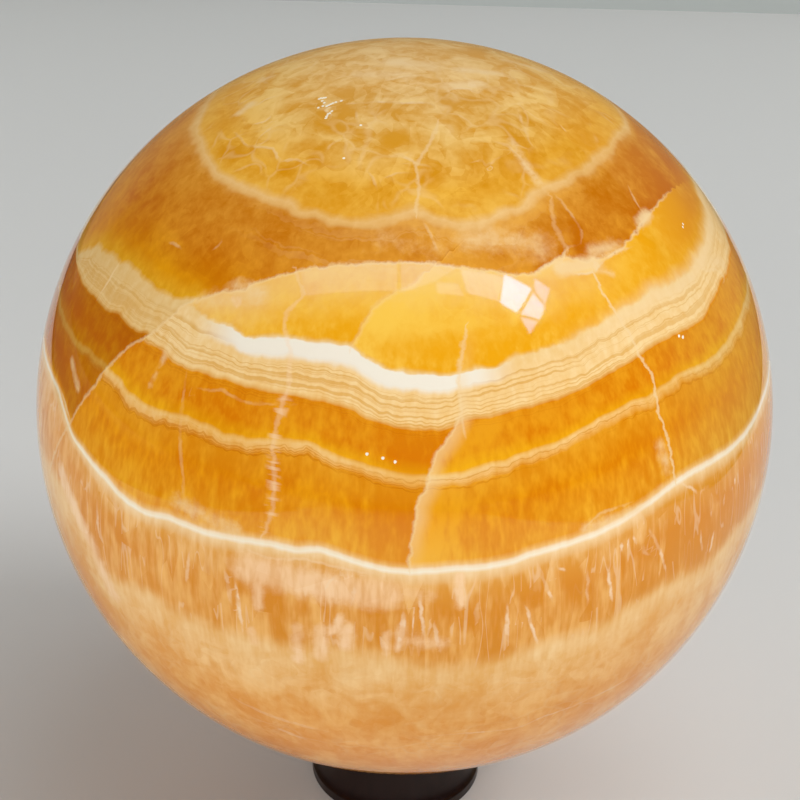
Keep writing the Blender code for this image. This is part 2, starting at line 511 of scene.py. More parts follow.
def add_number(mesh, name, values):
    """Keeps one number for each vertex under a name."""
    attribute = mesh.attributes.new(name, "FLOAT", "POINT")
    attribute.data.foreach_set("value", np.asarray(values, np.float32))


def make_ball():
    """The stone's mesh, with its levels and crack distances kept at the vertices."""
    directions, faces = cube_ball()
    mesh = bpy.data.meshes.new("banded_calcite")
    mesh.from_pydata((directions * RADIUS).tolist(), [], faces)
    bearing, height = bearing_and_height(directions)
    curves = {name: traced_height(pixels, seed) for seed, (name, pixels) in enumerate(TRACED.items())}
    upper = dict(curves)
    for name, pixels in TRACED_UPPER.items():
        upper[name] = with_upper_part(curves[name], pixels)
    add_number(mesh, "level", level_of(bearing, height, curves))
    add_number(mesh, "level_upper", level_of(bearing, height, upper))
    for name, pixels in CRACKS.items():
        signed, plain, _ = line_distance(directions, on_ball(pixels))
        add_number(mesh, name, signed)
        add_number(mesh, name + "_away", plain)
    add_marks(mesh, directions)
    add_number(mesh, "deep_patches", patch_depth(directions, DEEP_PATCHES))
    add_number(mesh, "pale_patches", patch_depth(directions, PALE_PATCHES))
    mesh.shade_smooth()
    ball = bpy.data.objects.new("banded_calcite", mesh)
    ball.location = CENTRE
    bpy.context.scene.collection.objects.link(ball)
    return ball


class Output:
    """What a node gives. Outputs and plain numbers are added, taken away and multiplied as numbers are."""

    def __init__(self, nodes, socket):
        self.nodes = nodes
        self.socket = socket

    def __add__(self, other):
        return self.nodes.math("ADD", self, other)

    def __radd__(self, other):
        return self.nodes.math("ADD", other, self)

    def __sub__(self, other):
        return self.nodes.math("SUBTRACT", self, other)

    def __rsub__(self, other):
        return self.nodes.math("SUBTRACT", other, self)

    def __mul__(self, other):
        return self.nodes.math("MULTIPLY", self, other)

    def __abs__(self):
        return self.nodes.math("ABSOLUTE", self)


class Nodes:
    """Writes a material's node tree as nested calls. A value may be plain or another node's output."""

    def __init__(self, name):
        self.material = bpy.data.materials.new(name)
        self.material.use_nodes = True
        self.tree = self.material.node_tree
        self.shader = self.tree.nodes["Principled BSDF"]

    def feed(self, socket, value):
        """Links a socket to an output, or sets a plain value."""
        if isinstance(value, Output):
            self.tree.links.new(value.socket, socket)
        elif isinstance(value, tuple) and len(value) == 3 and len(socket.default_value) == 4:
            socket.default_value = (*value, 1.0)
        else:
            socket.default_value = value

    def make(self, kind, output, inputs=None, **settings):
        """One output of a new node, whose inputs are fed by name or by place."""
        node = self.tree.nodes.new(kind)
        for name, value in settings.items():
            setattr(node, name, value)
        for name, value in (inputs or {}).items():
            self.feed(node.inputs[name], value)
        return Output(self, node.outputs[output])

    def number(self, name):
        """A number kept at the mesh's vertices."""
        return self.make("ShaderNodeAttribute", "Fac", attribute_name=name)

    def math(self, operation, *values):
        return self.make("ShaderNodeMath", 0, dict(enumerate(values)), operation=operation)

    def vector_math(self, operation, first, second, output="Vector"):
        return self.make("ShaderNodeVectorMath", output, {0: first, 1: second}, operation=operation)

    def step(self, value, low, high, start=0.0, end=1.0):
        """Goes smoothly from start to end as value goes from low to high."""
        inputs = {"Value": value, "From Min": low, "From Max": high, "To Min": start, "To Max": end}
        return self.make("ShaderNodeMapRange", "Result", inputs, interpolation_type="SMOOTHSTEP")

    def mix(self, factor, first, second, blend="MIX"):
        """The first colour, with the second laid over it by a factor."""
        inputs = {"Factor": factor, 6: first, 7: second}
        return self.make("ShaderNodeMix", 2, inputs, data_type="RGBA", blend_type=blend)

    def ramp(self, factor, stops):
        """A colour by position: stops is a list of (position, colour)."""
        node = self.tree.nodes.new("ShaderNodeValToRGB")
        self.feed(node.inputs["Fac"], factor)
        elements = node.color_ramp.elements
        while len(elements) < len(stops):
            elements.new(1.0)
        for element, (position, colour) in zip(elements, sorted(stops)):
            element.position = position
            element.color = (*colour, 1.0)
        return Output(self, node.outputs["Color"])

    def noise(self, vector, scale, detail=2.0, roughness=0.5, output="Fac"):
        """Plain noise about 0.5."""
        inputs = {"Vector": vector, "Scale": scale, "Detail": detail, "Roughness": roughness}
        return self.make("ShaderNodeTexNoise", output, inputs)


# The stone's colours by level in linear light: where it is deep, and where it is bright
LOW_END = -1.6
HIGH_END = 6.2
LAYER_COLOURS = [
    (6.10, (0.71, 0.37, 0.08), (0.90, 0.63, 0.30)),
    (5.60, (0.71, 0.32, 0.020), (0.90, 0.59, 0.19)),
    (5.25, (0.70, 0.28, 0.003), (0.88, 0.47, 0.055)),
    (5.07, (0.74, 0.31, 0.006), (0.90, 0.52, 0.09)),
    (5.02, (0.76, 0.40, 0.09), (0.87, 0.54, 0.20)),
    (4.995, (0.83, 0.52, 0.20), (0.90, 0.64, 0.32)),
    (4.975, (0.70, 0.32, 0.05), (0.84, 0.47, 0.13)),
    (4.94, (0.57, 0.17, 0.0), (0.80, 0.38, 0.05)),
    (4.50, (0.53, 0.13, 0.0), (0.80, 0.34, 0.02)),
    (4.22, (0.62, 0.19, 0.0), (0.82, 0.36, 0.003)),
    (4.06, (0.74, 0.33, 0.004), (0.84, 0.45, 0.03)),
    (4.00, (0.86, 0.56, 0.22), (0.91, 0.66, 0.33)),
    (3.10, (0.88, 0.55, 0.20), (0.93, 0.67, 0.33)),
    (3.015, (0.80, 0.40, 0.09), (0.86, 0.50, 0.15)),
    (2.97, (0.70, 0.21, 0.001), (0.82, 0.33, 0.010)),
    (2.40, (0.71, 0.19, 0.0), (0.84, 0.35, 0.008)),
    (2.12, (0.78, 0.30, 0.001), (0.90, 0.43, 0.008)),
    (2.035, (0.86, 0.48, 0.13), (0.91, 0.60, 0.24)),
    (1.97, (0.83, 0.41, 0.08), (0.90, 0.54, 0.19)),
    (1.91, (0.74, 0.26, 0.004), (0.84, 0.37, 0.02)),
    (1.60, (0.71, 0.20, 0.0), (0.87, 0.36, 0.004)),
    (1.10, (0.76, 0.26, 0.002), (0.90, 0.44, 0.03)),
    (1.035, (0.86, 0.48, 0.13), (0.92, 0.62, 0.29)),
    (1.010, (0.95, 0.84, 0.66), (0.96, 0.89, 0.75)),
    (0.990, (0.95, 0.80, 0.58), (0.95, 0.86, 0.69)),
    (0.962, (0.88, 0.57, 0.25), (0.93, 0.68, 0.38)),
    (0.86, (0.75, 0.31, 0.03), (0.90, 0.53, 0.20)),
    (0.60, (0.70, 0.24, 0.006), (0.87, 0.45, 0.12)),
    (0.15, (0.70, 0.25, 0.008), (0.87, 0.45, 0.12)),
    (-0.02, (0.81, 0.40, 0.09), (0.95, 0.66, 0.32)),
    (-0.45, (0.75, 0.27, 0.015), (0.92, 0.485, 0.135)),
    (-1.30, (0.79, 0.24, 0.012), (0.95, 0.42, 0.10)),
]
DEEP_GLOW = (0.86, 0.38, 0.005)
BRIGHT_GLOW = (0.95, 0.57, 0.075)
WHITE_STONE = (0.89, 0.83, 0.71)
CREAM = (0.89, 0.64, 0.33)
ROSE = (0.97, 0.65, 0.37)
SHARD = (0.93, 0.66, 0.41)
# the colour of the painted glints
PAINTED_GLINT = (0.97, 0.92, 0.74)
# the tint of a painted dull reflection
PAINTED_DULL_REFLECTION = (0.40, 0.42, 0.12)
SHADE_OF_LINE = (0.86, 0.70, 0.42)
SHADE_OF_UPPER = (0.70, 0.58, 0.25)

# Zones of the stone: the levels that they run from and to, and over how much they fade out
ZONES = {
    "wavy": (1.7, 4.2, 0.4),
    "ring": (4.88, 5.12, 0.10),
    "under_ring": (4.25, 4.97, 0.10),
    "lines_under_ring": (4.66, 4.93, 0.06),
    "glowing": (4.02, 4.90, 0.035),
    "cream": (3.0, 4.0, 0.02),
    "cream_lines": (3.02, 3.80, 0.05),
    "cream_foot": (2.84, 3.0, 0.06),
    "deep": (1.05, 2.95, 0.05),
    "thin_band": (1.88, 2.01, 0.02),
    "columns": (0.06, 0.90, 0.08),
    "fibrous": (0.0, 4.1, 0.15),
    "browner": (1.15, 4.05, 0.10),
    "hazy": (1.2, 4.0, 0.4),
    "ticked": (1.1, 3.0, 0.2),
}

# Stretches of the front: places across the ball, and over how much they fade out, in radii
STRETCHES = {
    "glow": (-0.75, 0.71, 0.07),
    # where the painted reflection veil lies under the fracture
    "painted_veil": (-0.62, 0.42, 0.1),
    "lines": (-0.28, 0.28, 0.15),
    "white": (-0.40, 0.20, 0.06),
}

# The stone's polish
STONE_ROUGHNESS = 0.05
STONE_IOR = 1.50
STONE_SHINE = 0.42

# Small features' sizes in radii. A mark's edge runs from outside its half width to inside it.
RAGGED_EDGE = 0.022  # from one side of a line to the other
CRACK_EDGE = 0.0015
MARK_EDGE = (0.0036, -0.0012)
MARK_LIMIT = (0.018, 0.010)
MARK_SHADE = 0.020


def layer_place(level):
    """Where a level lies on the colour ramps."""
    return (level - LOW_END) / (HIGH_END - LOW_END)


class Stone(Nodes):
    """Node helpers for the stone, with its axes, its levels and its zones."""

    def __init__(self, name):
        super().__init__(name)
        place = self.make("ShaderNodeTexCoord", "Object")
        self.place = self.vector_math("MULTIPLY", place, (1 / RADIUS, 1 / RADIUS, 1 / RADIUS))
        self.across = self.along_axis(ACROSS)
        self.away = self.along_axis(AWAY)
        self.height = self.along_axis(TOP)
        self.front = self.step(self.away, 0.45, 0.15)

        bend = self.vector_math("ADD", self.noise(self.place, 9.0, 1.5, output="Color"), (-0.5, -0.5, -0.5))
        bend = self.vector_math("MULTIPLY", bend, (0.16, 0.16, 0.16))
        self.bent_place = self.vector_math("ADD", self.place, bend)
        self.ragged = (self.noise(self.place, 38.0, 3.0, 0.65) - 0.5) * RAGGED_EDGE
        self.torn_place = self.vector_math("ADD", self.place, self.ragged * 0.3)

        self.below = self.past_line("fracture", CRACK_EDGE)
        self.level = self.wavy_level()
        self.in_cap = self.step(self.level, 5.03, 5.15)
        self.glowing = self.zone("glowing")
        self.in_columns = self.zone("columns")
        self.in_foot = self.step(self.level, 0.05, -0.15)
        self.fibres = self.swing(self.stretched(52.0, 9.0), 1.0, 2.0, 0.6, 0.62)
        self.crystals = self.facets(self.torn_place, 13.0)

    def along_axis(self, axis):
        """How far up one of the stone's axes a point lies."""
        return self.vector_math("DOT_PRODUCT", self.place, tuple(axis.tolist()), "Value")

    def laid(self, sideways, height, lengthways):
        """Coordinates that run along the layers, with a height as the third one."""
        inputs = {"X": self.across * sideways, "Y": self.away * sideways, "Z": height * lengthways}
        return self.make("ShaderNodeCombineXYZ", 0, inputs)

    def stretched(self, sideways, lengthways):
        """The stone's own coordinates with its growth axis scaled apart from the two others."""
        return self.laid(sideways, self.height, lengthways)

    def swing(self, vector, scale, detail, roughness, reach):
        """Noise that swings between about plus and minus reach."""
        return (self.noise(vector, scale, detail, roughness) - 0.5) * (2 * reach)

    def facets(self, vector, scale):
        """Flat-sided patches with a random value each, between about plus and minus a half."""
        cells = self.make("ShaderNodeTexVoronoi", "Color", {"Vector": vector, "Scale": scale})
        return self.make("ShaderNodeSeparateColor", 0, {"Color": cells}) - 0.5

    def between(self, value, low, high, soft, most=1.0):
        """Most from low to high, fading out over soft on either side."""
        rise = self.step(value, low - soft, low + soft, 0.0, most)
        return rise * self.step(value, high + soft, high - soft)

    def zone(self, name, most=1.0):
        """Most in one of the zones."""
        return self.between(self.level, *ZONES[name], most)

    def stretch(self, name):
        """One on a stretch of the front."""
        return self.between(self.across, *STRETCHES[name]) * self.front

    def wavy_level(self):
        """The level, wavy with the crystals' growth, and shifted beyond the big fracture."""
        wave = self.swing(self.stretched(1.0, 0.10), 17.0, 2.0, 0.55, 0.095)
        sides = {"Factor": self.below, "A": self.number("level_upper"), "B": self.number("level")}
        level = self.make("ShaderNodeMix", 0, sides, data_type="FLOAT")
        share = 0.25 + self.between(level, *ZONES["wavy"]) * 0.75
        share += self.between(level, *ZONES["ring"], 0.35)
        return level + wave * share

    def near_lines(self, names, width, soft):
        """One on some of the cracks, and nought from soft beyond their width or past their ends."""
        nearest = FAR
        for name in names:
            distance = abs(self.number(name) + self.ragged)
            past_end = self.number(name + "_away") - CRACK_END
            nearest = self.math("MINIMUM", nearest, self.math("MAXIMUM", distance, past_end))
        return self.step(nearest, width + soft, width)

    def past_line(self, name, soft):
        """One on the positive side of a crack."""
        return self.step(self.number(name) + self.ragged, -soft, soft)

    def beside(self, name, reach, more, fewer):
        """More on a crack's positive side and minus fewer on its other, both fading out over reach."""
        after = self.past_line(name, 0.002)
        brighter = after * self.step(self.number(name), reach, 0.0, 0.0, more)
        deeper = (1.0 - after) * self.step(self.number(name), -reach, 0.0, 0.0, fewer)
        return brighter - deeper

    def marks(self):
        """How strongly the thin marks show, and the shade beside them: positive above, negative below."""
        side = self.number("mark") + self.ragged * 0.6
        outside = self.number("outside_mark")
        depth = abs(side) - self.number("mark_width")
        worn = self.step(self.noise(self.place, 30.0, 1.0), 0.40, 0.55, 0.35, 1.0)
        strength = self.number("mark_strength") * worn
        line = self.step(depth, *MARK_EDGE) * self.step(outside, *MARK_LIMIT)
        shade = self.step(side, -0.001, 0.003, -0.5, 1.0) * self.step(outside, MARK_SHADE, 0.0)
        return line * strength, shade * strength

    def dots(self, pixels):
        """One inside small dots of about the same size."""
        nearest = FAR
        for middle in on_ball(pixels):
            away = self.vector_math("DISTANCE", self.torn_place, tuple(middle.tolist()), "Value")
            nearest = self.math("MINIMUM", nearest, away)
        return self.step(nearest, PAINTED_GLINT_END / OUTLINE_RADIUS, PAINTED_GLINT_FULL / OUTLINE_RADIUS)

    def patches(self, name):
        """How strongly a vertex list of patches shows, with torn edges."""
        depth = self.number(name) + self.ragged * 24.0
        return self.step(depth, 0.15, 0.75) * self.step(self.number(name), 0.0, 0.15)


def brightness(stone, beside_marks):
    """How bright the stone is, from deep at 0 to bright at 1."""
    # clouds, fibres along the growth, mottling, and columns
    tone = 0.45 + stone.swing(stone.place, 4.5, 3.0, 0.66, 0.70)
    tone += stone.fibres * (0.50 + stone.zone("fibrous", 1.05))
    tone += stone.ragged * (14.0 + stone.in_foot * 12.0)
    columns = stone.facets(stone.stretched(26.0, 3.6), 1.0) - 0.10
    tone += columns * stone.in_columns * 0.52
    tone -= stone.in_columns * stone.step(stone.across, 0.35, 0.70, 0.0, 0.35)

    # the sides of the cracks
    deep_levels = stone.zone("deep") * stone.front
    tone += stone.beside("crack_b", 0.20, 0.65, 0.30) * deep_levels
    tone -= deep_levels * 0.05
    tone += stone.beside("facet", 0.09, 0.40, 0.30) * (stone.glowing * stone.front)

    # broad shades across the bands
    tone -= stone.glowing * stone.step(stone.across, -0.10, 0.15, 0.0, 0.30)
    under_ring = stone.zone("under_ring") * stone.front
    tone += under_ring * stone.between(stone.across, -0.10, 0.45, 0.25, 0.60)
    tone -= under_ring * 0.15
    tone += stone.zone("cream") * stone.step(stone.across, 0.2, 0.8, 0.0, 0.12)
    tone -= stone.patches("deep_patches") * 0.5

    # broken crystals, most in the cap and the foot
    share = stone.step(stone.level, 4.1, 4.3, 0.0, 0.50) + stone.step(stone.level, 5.05, 5.45, 0.0, 0.65)
    share += stone.in_foot * 0.75
    hollow = stone.noise(stone.bent_place, 8.0, 2.0, 0.55) - 0.5
    broken = hollow * 2.0 + stone.crystals * 0.30
    broken += stone.facets(stone.bent_place, 38.0) * 0.30
    tone += broken * share
    tone += beside_marks * stone.step(stone.level, 4.0, 4.1, 0.10, 0.65)
    return stone.step(tone, -0.15, 1.15)


def layer_colour(stone, tone):
    """The layers' own colours, from the cap down to the foot."""
    inputs = {"Value": stone.level, "From Min": LOW_END, "From Max": HIGH_END}
    spot = stone.make("ShaderNodeMapRange", "Result", inputs)
    deep = stone.ramp(spot, [(layer_place(at), colour) for at, colour, _ in LAYER_COLOURS])
    bright = stone.ramp(spot, [(layer_place(at), colour) for at, _, colour in LAYER_COLOURS])
    return stone.mix(tone, deep, bright)


def add_glow(stone, colour, tone):
    """The brighter stone between the fracture and the white band, partly its own colour and partly painted
    light.
    """
    # partly the brighter layers' own colour, partly painted light of the mirrored window along the fracture
    lit = stone.below * stone.glowing * stone.stretch("glow")
    lit *= stone.step(stone.away, 0.05, -0.25)
    lit *= stone.step(stone.across, 0.52, 0.72, 1.0, 0.55)
    colour = stone.mix(lit, colour, stone.mix(tone, DEEP_GLOW, BRIGHT_GLOW))
    # painted reflection: the mirrored window's pale veil just under the fracture
    painted_veil = lit * stone.step(stone.number("fracture") + stone.ragged * 3.0, 0.13, 0.0)
    return stone.mix(painted_veil * (stone.stretch("painted_veil") * 0.36), colour, CREAM)


def add_bands(stone, colour):
    """What runs along the layers: thin lines, the white band and the cream at the right."""
    level = stone.level
    # thin lines, closer together in the thin band than in the cream one
    zigzag = stone.swing(stone.stretched(1.0, 0.10), 48.0, 1.0, 0.5, 0.045)
    fine = level + zigzag
    spacing = stone.step(level, 2.6, 2.5, 17.0, 42.0)
    lines = stone.noise(stone.laid(1.1, fine * spacing, 1.0), 1.0, 2.0, 0.7)
    lines = stone.step(lines, 0.52, 0.43)
    lined = stone.zone("cream_lines") + stone.zone("thin_band")
    lined += stone.zone("cream_foot") * 0.5
    lined *= stone.step(stone.across, 0.9, 0.4, 0.5, 1.0)
    lined *= stone.step(stone.below, 0.0, 1.0, 0.55, 1.0)
    colour = stone.mix(lines * lined * 0.85, colour, SHADE_OF_LINE, "MULTIPLY")
    under = stone.zone("lines_under_ring") * stone.stretch("lines")
    colour = stone.mix(lines * under * 0.11, colour, CREAM)

    # the white band at the front
    white = stone.step(fine, 3.60, 3.76) * stone.step(level, 4.00, 3.97)
    white = white * stone.below * stone.stretch("white")
    colour = stone.mix(white * 0.92, colour, WHITE_STONE)

    # at the right, the cream layers fade upwards
    fading = stone.step(level, 4.15, 3.98) * stone.step(level, 3.6, 3.9)
    fading = fading * stone.step(stone.across, 0.30, 0.60) * stone.front
    return stone.mix(fading * 0.6, colour, CREAM)


def add_shades(stone, colour):
    """A painted dull reflection over the deep layers at the right, and browner stone beyond the fracture."""
    # painted reflection: a dull, greenish tint over the deep layers at the right
    painted_dull_reflection = stone.step(stone.across, 0.50, 0.80, 0.0, 0.15) * stone.zone("deep")
    colour = stone.mix(painted_dull_reflection * stone.front, colour, PAINTED_DULL_REFLECTION)
    upper = (1.0 - stone.below) * stone.zone("browner")
    upper *= stone.step(stone.across, -0.35, -0.5) * stone.step(stone.away, 0.70, 0.10)
    upper *= stone.step(stone.level, 3.06, 2.94, 0.28, 1.0)
    return stone.mix(upper, colour, SHADE_OF_UPPER, "MULTIPLY")


def add_crystal_edges(stone, colour):
    """Thin pale edges of the columns, and of the broken crystals in the cap and the foot."""
    edge = stone.noise(stone.stretched(30.0, 3.0), 1.0, 1.0, 0.5)
    edge = stone.step(abs(edge - 0.5), 0.022, 0.004)
    edge = edge * stone.step(stone.crystals, -0.2, 0.2) * stone.in_columns
    colour = stone.mix(edge * 0.35, colour, SHARD)
    cells = {"Vector": stone.bent_place, "Scale": 12.0}
    border = stone.make("ShaderNodeTexVoronoi", "Distance", cells, feature="DISTANCE_TO_EDGE")
    veins = stone.step(border, 0.10, 0.0)
    veins *= stone.step(stone.noise(stone.place, 7.0, 2.0), 0.46, 0.60)
    veins *= stone.in_cap + stone.in_foot * 0.5
    return stone.mix(veins * 0.26, colour, CREAM)


def add_cracks(stone, colour):
    # a pale haze on the right of the middle crack
    hazy = stone.past_line("crack_b", CRACK_EDGE) * stone.step(stone.number("crack_b"), 0.040, 0.0)
    hazy = hazy * stone.zone("hazy") * stone.front
    colour = stone.mix(hazy * 0.5, colour, CREAM)

    # pale lines, the fracture's up to its right end
    ended = stone.step(stone.across, 0.66, 0.60)
    for names, width, soft, strength in (
        (("fracture", "crack_b", "cap_crack"), 0.0008, 0.006, ended * 0.48),
        (("crack_c",), 0.0012, 0.004, 0.70),
        (("facet", "branch"), 0.001, 0.008, 0.26),
    ):
        colour = stone.mix(stone.near_lines(names, width, soft) * strength, colour, CREAM)

    # the left crack, with small ticks across it
    ticks = stone.noise(stone.laid(9.0, stone.height, 110.0), 1.0, 1.0)
    ticked = stone.step(ticks, 0.52, 0.66) * stone.near_lines(("crack_a",), 0.003, 0.018)
    ticked *= stone.zone("ticked")
    colour = stone.mix(ticked * 0.5, colour, SHARD)
    return stone.mix(stone.near_lines(("crack_a",), 0.001, 0.007) * 0.30, colour, SHARD)


def add_marks_and_patches(stone, colour, marks):
    """Pale patches and thin marks, cream above the white line and rosier under it, and the painted glints.
    """
    over_line = stone.step(stone.level, 0.95, 1.05)
    streaks = stone.step(stone.fibres, -0.25, 0.12, 0.62, 1.0)
    pale = stone.patches("pale_patches") * (0.80 + stone.crystals * 0.35)
    pale *= stone.math("MAXIMUM", over_line, streaks)
    colour = stone.mix(pale, colour, stone.mix(over_line, ROSE, CREAM))
    colour = stone.mix(marks, colour, stone.mix(over_line, SHARD, CREAM))
    # painted glints of small pits, laid into the stone's colour
    return stone.mix(stone.dots(PAINTED_GLINTS), colour, PAINTED_GLINT)


def calcite_material():
    stone = Stone("calcite")
    marks, beside_marks = stone.marks()
    tone = brightness(stone, beside_marks)
    colour = layer_colour(stone, tone)
    colour = add_glow(stone, colour, tone)
    colour = add_bands(stone, colour)
    colour = add_shades(stone, colour)
    colour = add_crystal_edges(stone, colour)
    colour = add_cracks(stone, colour)
    colour = add_marks_and_patches(stone, colour, marks)
    stone.feed(stone.shader.inputs["Base Color"], colour)
    stone.shader.inputs["Roughness"].default_value = STONE_ROUGHNESS
    stone.shader.inputs["IOR"].default_value = STONE_IOR
    stone.shader.inputs["Specular IOR Level"].default_value = STONE_SHINE
    return stone.material


# The stand's turned shape
SEAT_RADIUS = 0.0098  # outer edge of the dish under the ball
SEAT_GAP = 0.0003
RIM_LIP = 0.0012
RIM_DROP = 0.0014
FOOT_HEIGHT = 0.0016
EDGE_ROUND = 0.0005
STAND_STEPS = 128
SEAT_POINTS = 10
SIDE_POINTS = 16
ROUND_SEGMENTS = 4
SHARP_ANGLE = radians(40)
MERGE_DISTANCE = 0.00001

# The stand's dark wood: its grain's fineness per metre, its two colours, and its polish
GRAIN = (900.0, 900.0, 90.0)
WEAR = (300.0, 300.0, 60.0)
DARK_WOOD = (0.003, 0.0012, 0.001)
BROWN_WOOD = (0.018, 0.006, 0.004)
STAND_ROUGHNESS = (0.28, 0.42)
STAND_SHINE = 0.35


def make_stand():
    """The turned foot, cut finer than the solid that it stands for."""
    foot_radius = (STAND_HIGH.x - STAND_LOW.x) / 2
    dish_radius = RADIUS + SEAT_GAP
    rim_radius = SEAT_RADIUS + RIM_LIP
    points = []
    for step in range(SEAT_POINTS + 1):
        radius = SEAT_RADIUS * step / SEAT_POINTS
        points.append((radius, CENTRE.z - sqrt(dish_radius**2 - radius**2)))
    rim_top = points[-1][1]
    points.append((rim_radius, rim_top))
    side_top = rim_top - RIM_DROP
    for step in range(SIDE_POINTS + 1):
        turn = pi / 2 * step / SIDE_POINTS
        radius = rim_radius + (foot_radius - rim_radius) * (1 - cos(turn))
        points.append((radius, side_top - (side_top - FOOT_HEIGHT) * sin(turn)))
    points.append((foot_radius, 0.0))
    points.append((0.0, 0.0))
    mesh = bpy.data.meshes.new("turned_stand")
    edges = [(index, index + 1) for index in range(len(points) - 1)]
    mesh.from_pydata([(radius, 0.0, height) for radius, height in points], edges, [])
    stand = bpy.data.objects.new("turned_stand", mesh)
    bpy.context.scene.collection.objects.link(stand)
    turned = stand.modifiers.new("turn", "SCREW")
    turned.axis = "Z"
    turned.steps = STAND_STEPS
    turned.render_steps = STAND_STEPS
    turned.use_merge_vertices = True
    turned.merge_threshold = MERGE_DISTANCE
    turned.use_smooth_shade = True
    soften = stand.modifiers.new("soften", "BEVEL")
    soften.width = EDGE_ROUND
    soften.segments = ROUND_SEGMENTS
    soften.angle_limit = SHARP_ANGLE
    soften.harden_normals = True
    return stand


def stand_material():
    nodes = Nodes("dark_stand")
    place = nodes.make("ShaderNodeTexCoord", "Object")
    grain = nodes.noise(nodes.vector_math("MULTIPLY", place, GRAIN), 1.0, 4.0, 0.6)
    nodes.feed(nodes.shader.inputs["Base Color"], nodes.mix(grain, DARK_WOOD, BROWN_WOOD))
    wear = nodes.noise(nodes.vector_math("MULTIPLY", place, WEAR), 1.0, 3.0, 0.6)
    nodes.feed(nodes.shader.inputs["Roughness"], nodes.step(wear, 0.3, 0.7, *STAND_ROUGHNESS))
    nodes.shader.inputs["Specular IOR Level"].default_value = STAND_SHINE
    return nodes.material


def place_camera():
    """The photograph's view: the ball's centre and outline fall where they do in the picture."""
    camera = bpy.data.cameras.new("camera")
    camera.sensor_width = SENSOR
    camera.lens = SENSOR * FOCAL_PIXELS / PHOTO_SIDE
    camera.shift_x = (PHOTO_SIDE / 2 - OUTLINE_CENTRE[0]) / PHOTO_SIDE
    camera.shift_y = (OUTLINE_CENTRE[1] - PHOTO_SIDE / 2) / PHOTO_SIDE
    camera.clip_start = NEAR_CLIP
    holder = bpy.data.objects.new("camera", camera)
    turn = Matrix([RIGHT, UP, -FORWARD]).transposed().to_4x4()
    holder.matrix_world = Matrix.Translation(CENTRE + Vector(EYE * RADIUS)) @ turn
    bpy.context.scene.collection.objects.link(holder)
    bpy.context.scene.camera = holder


# The room: a pale table with a plain wall behind it
TABLE_WIDTH = 3.0
TABLE_DEPTH = 2.4
WALL_DISTANCE = 0.72  # behind the ball
WALL_HEIGHT = 0.9
TABLE_COLOUR = (0.70, 0.70, 0.685)
WALL_COLOUR = (0.50, 0.53, 0.51)
ROOM_ROUGHNESS = 0.9
ROOM_SHINE = 0.1

# Dark sheets beside and before the table, seen only in the polish, paint darker reflections into the ball:
# left, right, near and far edges, and colour
DARK = (0.03, 0.02, 0.015)
DIM = (0.16, 0.12, 0.09)
DUSKY = (0.15, 0.13, 0.11)
WARM = (0.46, 0.32, 0.17)
STRIPS = [
    (-0.275, -0.25, -0.5, 0.7, DARK), (0.222, 0.238, 0.0, 0.40, DARK),
    (-1.5, -0.275, -1.6, 0.7, DIM), (0.238, 1.5, -1.6, 0.7, DUSKY),
]
FRONT_FADE = (-0.20, -0.95)  # where the mirrored table starts to darken towards the front, and where it ends
STRIP_HEIGHT = 0.001
FLAT = (0.0, 0.0, 0.0)
UPRIGHT = (pi / 2, 0.0, 0.0)


def plain_surface(name, size, place, turn, colour):
    """A flat, matt piece of the room."""
    bpy.ops.mesh.primitive_plane_add(size=1.0, location=place, rotation=turn)
    surface = bpy.context.object
    surface.name = name
    surface.scale = (*size, 1.0)
    nodes = Nodes(name)
    nodes.shader.inputs["Base Color"].default_value = (*colour, 1.0)
    nodes.shader.inputs["Roughness"].default_value = ROOM_ROUGHNESS
    nodes.shader.inputs["Specular IOR Level"].default_value = ROOM_SHINE
    surface.data.materials.append(nodes.material)
    return surface, nodes


def only_mirrored(surface):
    """Leaves a surface to the polish alone: it neither shows nor shades anything."""
    surface.visible_camera = False
    surface.visible_diffuse = False
    surface.visible_shadow = False


def make_room():
    table_near = WALL_DISTANCE - TABLE_DEPTH
    middle = (0.0, WALL_DISTANCE - TABLE_DEPTH / 2, 0.0)
    plain_surface("table", (TABLE_WIDTH, TABLE_DEPTH), middle, FLAT, TABLE_COLOUR)
    wall_place = (0.0, WALL_DISTANCE, WALL_HEIGHT / 2)
    plain_surface("wall", (TABLE_WIDTH, WALL_HEIGHT), wall_place, UPRIGHT, WALL_COLOUR)
    for index, (left, right, near, far, colour) in enumerate(STRIPS):
        size = (right - left, far - near)
        place = ((left + right) / 2, (near + far) / 2, 2 * STRIP_HEIGHT)
        strip, _ = plain_surface("strip_%d" % index, size, place, FLAT, colour)
        only_mirrored(strip)
    # a warm, dim sheet before the wall, seen only in the polish: a painted darker reflection of the wall
    before_wall = (0.0, WALL_DISTANCE - STRIP_HEIGHT, WALL_HEIGHT / 2)
    dim_wall, _ = plain_surface("dim_wall", (TABLE_WIDTH, WALL_HEIGHT), before_wall, UPRIGHT, WARM)
    only_mirrored(dim_wall)
    # a sheet seen only in the polish that darkens the mirrored table towards the front: a painted darker
    # reflection
    start, end = FRONT_FADE
    place = (0.0, (start + table_near) / 2, STRIP_HEIGHT)
    fade, nodes = plain_surface("front_fade", (TABLE_WIDTH, start - table_near), place, FLAT, DARK)
    only_mirrored(fade)
    world_place = nodes.make("ShaderNodeNewGeometry", "Position")
    away = nodes.make("ShaderNodeSeparateXYZ", "Y", {"Vector": world_place})
    shade = nodes.mix(nodes.step(away, start, end), TABLE_COLOUR, DARK)
    nodes.feed(nodes.shader.inputs["Base Color"], shade)


def direction(bearing, rise):
    """Unit vector towards a compass bearing, with 0 away from the camera and 90 to its right, and a rise."""
    turn = radians(bearing)
    lift = radians(rise)
    return Vector((sin(turn) * cos(lift), cos(turn) * cos(lift), sin(lift)))


